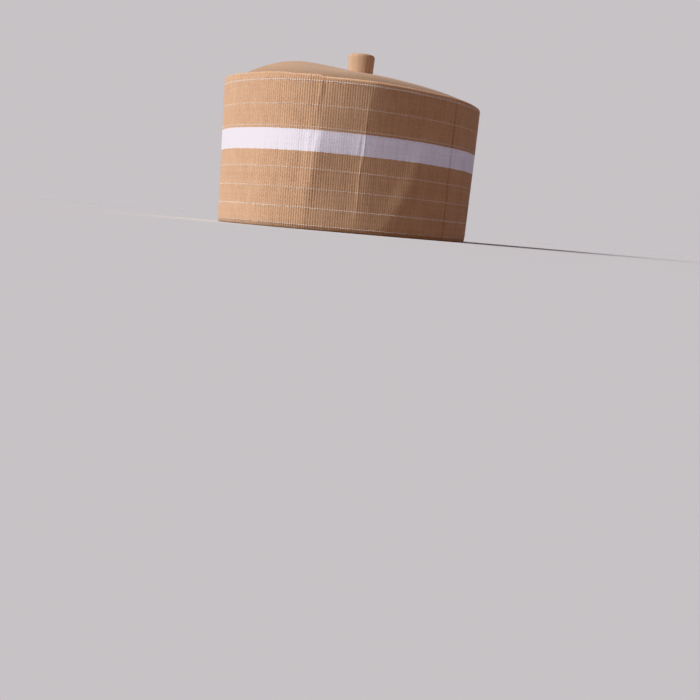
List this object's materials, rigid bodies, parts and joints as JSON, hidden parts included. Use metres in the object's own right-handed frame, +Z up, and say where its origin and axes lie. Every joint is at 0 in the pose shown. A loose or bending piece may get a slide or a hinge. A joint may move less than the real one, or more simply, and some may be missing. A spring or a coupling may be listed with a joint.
{
  "type": "aso oke cap",
  "caption": "Stiff oval drum-shaped cap of ribbed tan cloth with woven white stripes, a domed crown and a short stuffed stalk, worn on the head.",
  "frame": {"origin": "middle of the rim, on the plane that the cap rests on", "axes": "+Z up, -Y towards the front of the cap, +X towards the wearer's left"},
  "size_m": [0.175, 0.2029, 0.1354],
  "materials": {
    "striped_cloth": "ribbed tan weave with white woven stripes",
    "crown_cloth": "close tan weave",
    "stalk_cloth": "close tan weave, upright grain"
  },
  "bodies": {
    "root": {"side_wall": "striped_cloth", "crown": "crown_cloth", "stalk": "stalk_cloth"}
  },
  "joints": []
}
